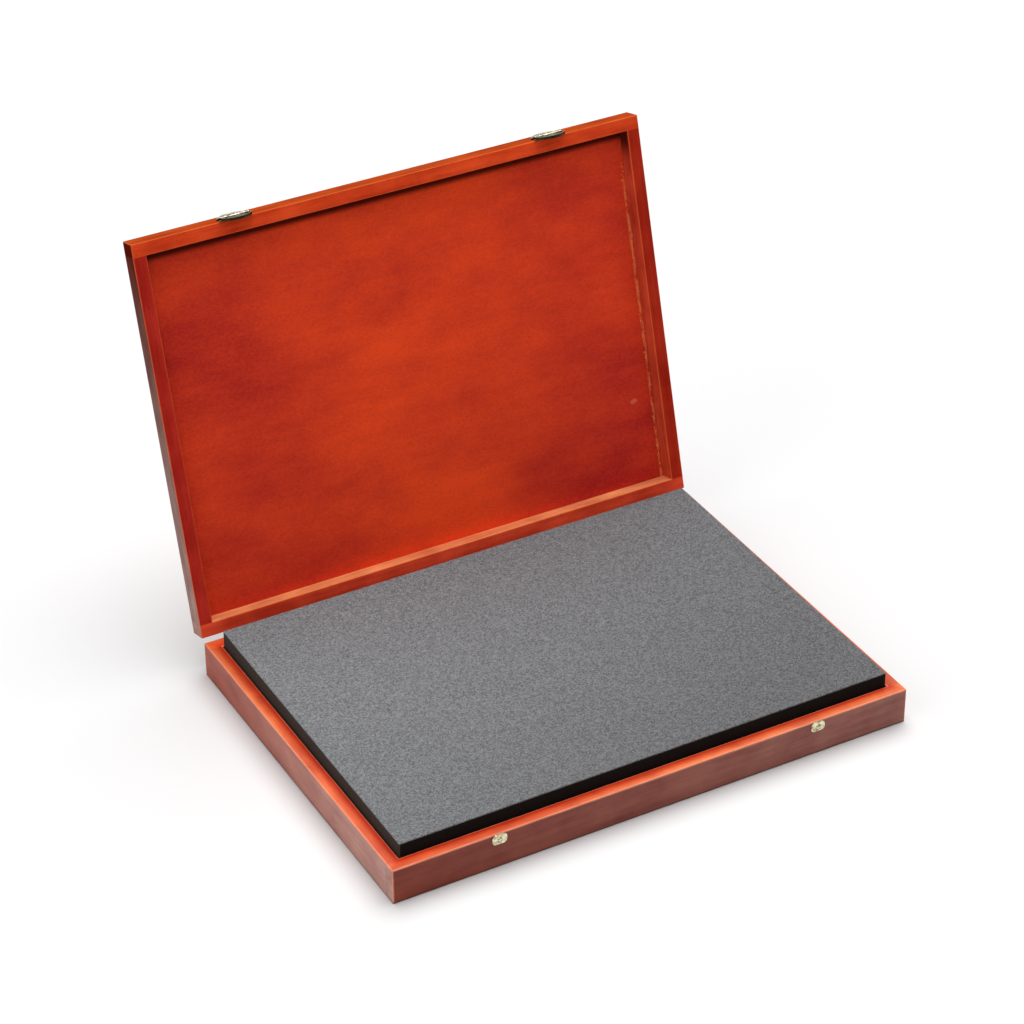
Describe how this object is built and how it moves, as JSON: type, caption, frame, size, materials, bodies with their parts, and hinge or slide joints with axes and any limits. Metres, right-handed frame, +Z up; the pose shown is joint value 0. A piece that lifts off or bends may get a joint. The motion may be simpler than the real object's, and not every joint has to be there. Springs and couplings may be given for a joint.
{
  "type": "presentation case",
  "caption": "Flat wooden presentation case: hinged lid held open past upright by stop hinges, foam insert standing proud of the tray, snap hasps on the front edge.",
  "frame": {"origin": "middle of the base's underside, on the surface the case stands on", "axes": "+X to the right along the front edge, the longest extent; +Y from the front to the hinge side; +Z up. Rest pose: lid open on its stops"},
  "size_m": [0.4, 0.3869, 0.3135],
  "materials": {
    "stained_wood": "mahogany stain under satin lacquer",
    "stained_plywood": "mahogany stain under satin lacquer",
    "black_foam": "cut closed-cell foam, matte",
    "grey_foam": "fine-grained foam skin, matte",
    "clasp_brass": "pale brass plate, polished",
    "hinge_brass": "brass plate, satin"
  },
  "bodies": {
    "base": {"base_front_rail": "stained_wood", "base_back_rail": "stained_wood", "base_left_rail": "stained_wood", "base_right_rail": "stained_wood", "base_bottom_panel": "stained_plywood", "foam_block": "black_foam", "foam_top_layer": "grey_foam", "left_hinge_base_leaf": "hinge_brass", "right_hinge_base_leaf": "hinge_brass", "left_hinge_pin": "hinge_brass", "right_hinge_pin": "hinge_brass", "hinge_base_screws": "hinge_brass", "left_catch_plate": "clasp_brass", "right_catch_plate": "clasp_brass", "catch_nails": "clasp_brass"},
    "lid": {"lid_front_rail": "stained_wood", "lid_back_rail": "stained_wood", "lid_left_rail": "stained_wood", "lid_right_rail": "stained_wood", "lid_panel": "stained_plywood", "left_hinge_lid_leaf": "hinge_brass", "right_hinge_lid_leaf": "hinge_brass", "hinge_lid_screws": "hinge_brass", "left_clasp_leaf": "clasp_brass", "right_clasp_leaf": "clasp_brass", "left_clasp_pin": "clasp_brass", "right_clasp_pin": "clasp_brass", "clasp_nails": "clasp_brass"},
    "left_hasp": {"left_clasp_hasp": "clasp_brass"},
    "right_hasp": {"right_clasp_hasp": "clasp_brass"}
  },
  "joints": [
    {"name": "lid_hinge", "type": "hinge", "parent": "base", "child": "lid", "pos_m": [0, 0.147, 0.0272], "axis": [1, 0, 0], "range_deg": [0, 105.5]},
    {"name": "left_hasp_swing", "type": "hinge", "parent": "lid", "child": "left_hasp", "pos_m": [-0.1214, 0.22841, 0.30915], "axis": [-1, 0, 0], "range_deg": [0, 110]},
    {"name": "right_hasp_swing", "type": "hinge", "parent": "lid", "child": "right_hasp", "pos_m": [0.1266, 0.22841, 0.30915], "axis": [-1, 0, 0], "range_deg": [0, 110]}
  ]
}
